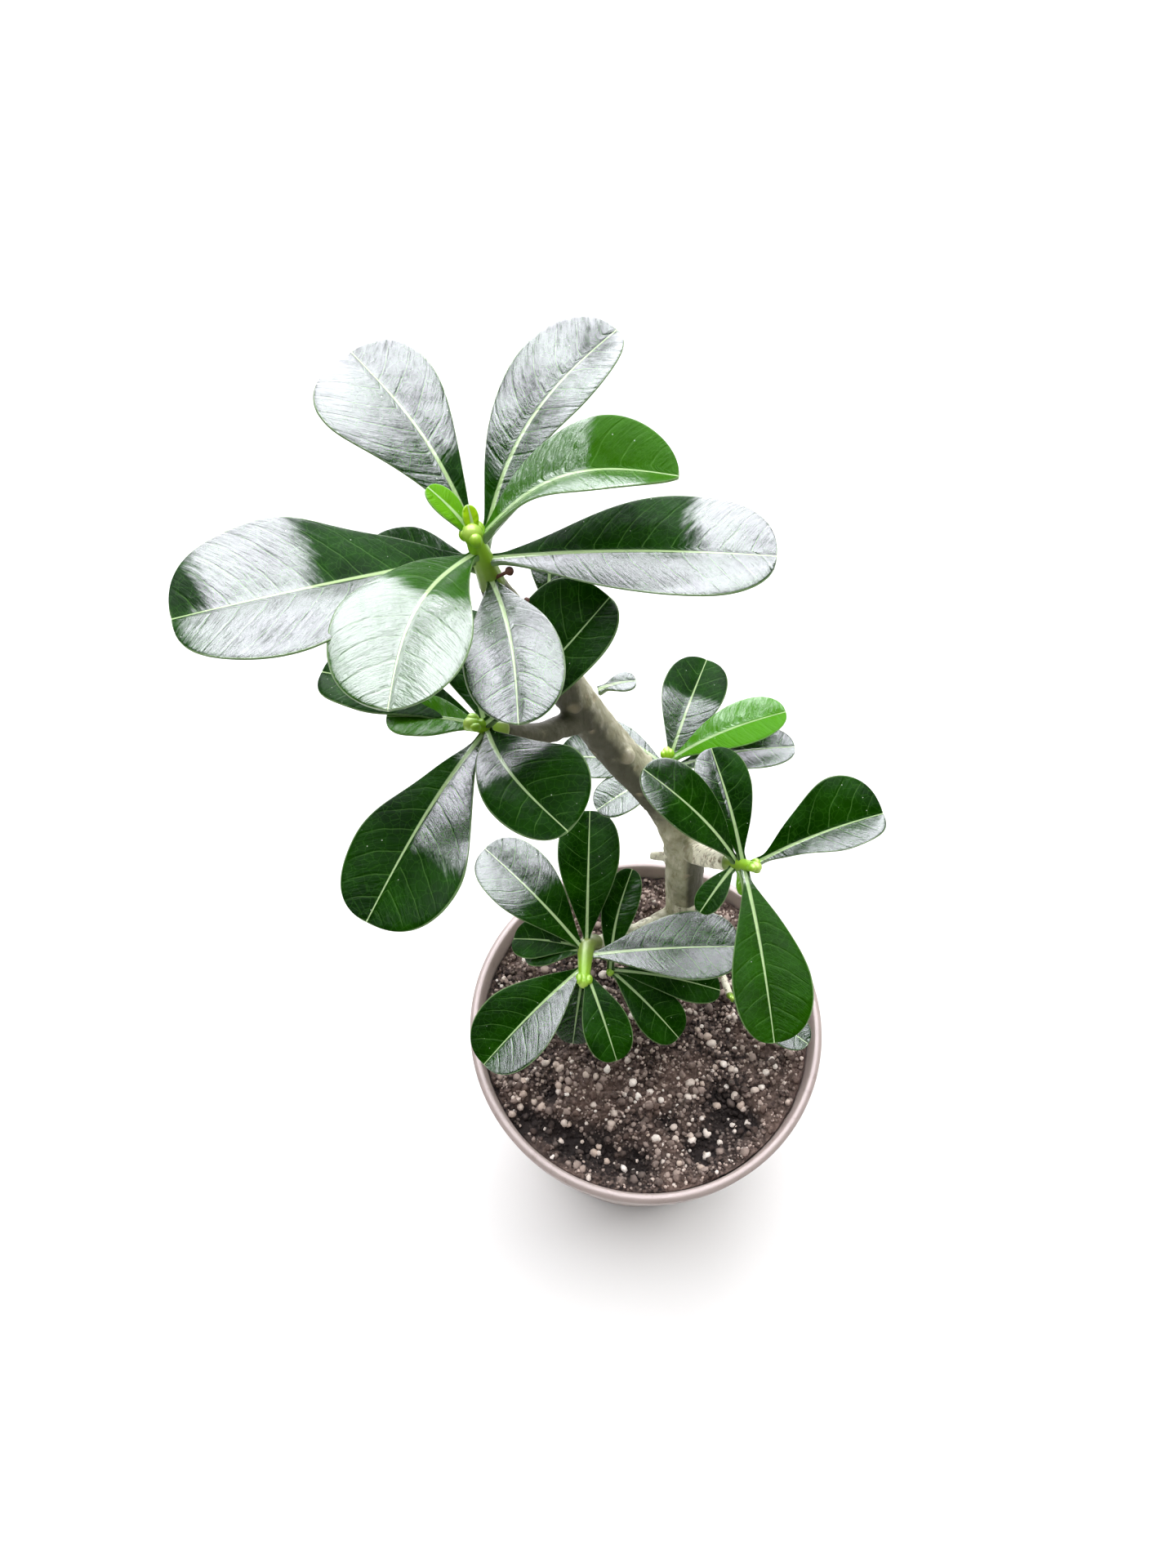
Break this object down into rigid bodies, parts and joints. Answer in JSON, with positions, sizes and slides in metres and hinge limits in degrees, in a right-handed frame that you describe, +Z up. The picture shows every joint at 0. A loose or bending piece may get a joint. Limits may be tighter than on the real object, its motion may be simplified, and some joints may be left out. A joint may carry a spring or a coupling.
{
  "type": "potted desert rose adenium",
  "caption": "Young desert rose plant with a long bent woody stem, side branches and rosettes of thick spoon-shaped leaves, growing in gritty soil in a round tapered plastic pot.",
  "frame": {"origin": "middle of the pot's underside, on the surface it stands on", "axes": "+Z up; the pictured side faces -Y; the stem leans towards -X"},
  "size_m": [0.1851, 0.1686, 0.3924],
  "materials": {
    "pot_plastic": "matt, pinkish grey",
    "gritty_soil": "crumbly, with pale perlite grains",
    "bark": "smooth grey-beige bark",
    "leaf": "thick, glossy deep green"
  },
  "bodies": {
    "root": {"pot": "pot_plastic", "soil": "gritty_soil", "trunk_and_branches": "bark", "shoot_top": "leaf", "shoot_left": "leaf", "shoot_back": "leaf", "shoot_right": "leaf", "shoot_front": "leaf", "shoot_front_lower": "leaf", "shoot_base": "leaf", "leaf_upper": "leaf", "leaf_behind": "leaf"}
  },
  "joints": []
}
